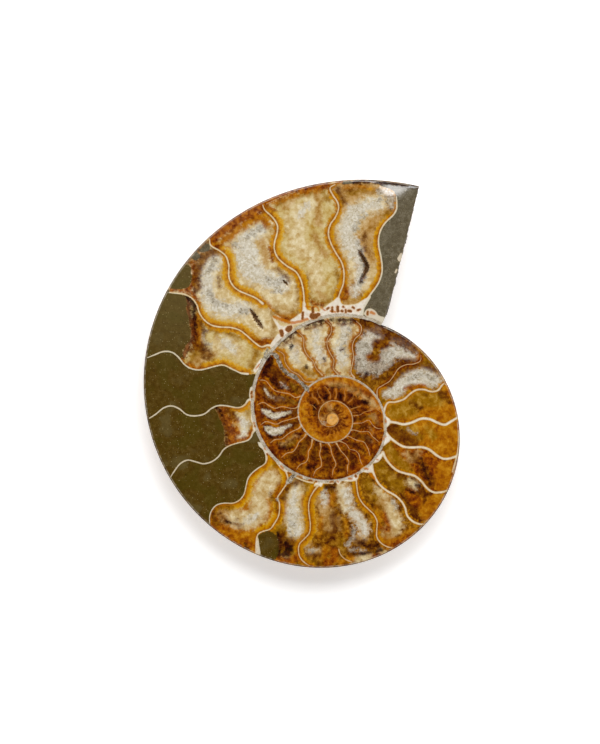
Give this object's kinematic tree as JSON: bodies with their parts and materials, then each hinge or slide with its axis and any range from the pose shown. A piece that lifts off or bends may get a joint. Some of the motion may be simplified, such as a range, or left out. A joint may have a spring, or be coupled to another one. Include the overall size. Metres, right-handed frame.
{
  "type": "ammonite fossil",
  "caption": "Half of a coiled ammonite, sawn through its flat middle and polished to show its walled chambers, lying on its ribbed round back.",
  "frame": {"origin": "middle of the footprint, on the surface that the round back rests on", "axes": "+Z out of the polished face, +Y towards the broken mouth, +X to the right of it as the face is looked at"},
  "size_m": [0.0794, 0.0974, 0.013],
  "materials": {
    "polished_stone": "polished face, satin back"
  },
  "bodies": {
    "root": {"ammonite": "polished_stone"}
  },
  "joints": []
}
